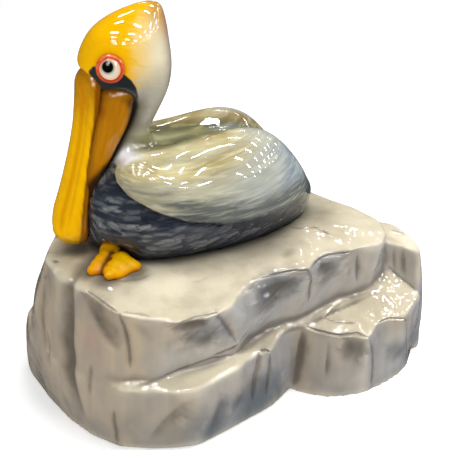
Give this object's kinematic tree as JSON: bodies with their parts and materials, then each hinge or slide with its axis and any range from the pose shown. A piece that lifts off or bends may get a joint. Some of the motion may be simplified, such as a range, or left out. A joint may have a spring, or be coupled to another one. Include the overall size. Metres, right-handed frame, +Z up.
{
  "type": "pelican play sculpture",
  "caption": "Moulded, painted and varnished brown pelican resting with its bill tucked down on a stepped rock, for standing on a floor to be looked at or climbed on.",
  "frame": {"origin": "on the floor, under the middle of the bounding box of the whole sculpture", "axes": "+Z up; -Y the way the bird faces, so +Y runs from its bill to its tail; +X the bird's left"},
  "size_m": [0.6262, 0.9264, 0.8312],
  "materials": {
    "painted_plumage": "airbrushed feather colours under a gloss clear coat",
    "painted_bill": "yellow and orange airbrushed paint under a gloss clear coat",
    "painted_feet": "yellow-orange airbrushed paint under a gloss clear coat",
    "painted_eye": "hand-painted iris and pupil under a gloss clear coat",
    "painted_rock": "beige and grey airbrushed stone colours under a gloss clear coat"
  },
  "bodies": {
    "root": {"head": "painted_plumage", "neck": "painted_plumage", "trunk": "painted_plumage", "tail": "painted_plumage", "wing_left": "painted_plumage", "wing_right": "painted_plumage", "bill_upper": "painted_bill", "pouch": "painted_bill", "eye_left": "painted_eye", "eye_right": "painted_eye", "foot_left": "painted_feet", "foot_right": "painted_feet", "rock_summit": "painted_rock", "rock_base": "painted_rock", "rock_side_step": "painted_rock", "rock_rear_step": "painted_rock"}
  },
  "joints": []
}
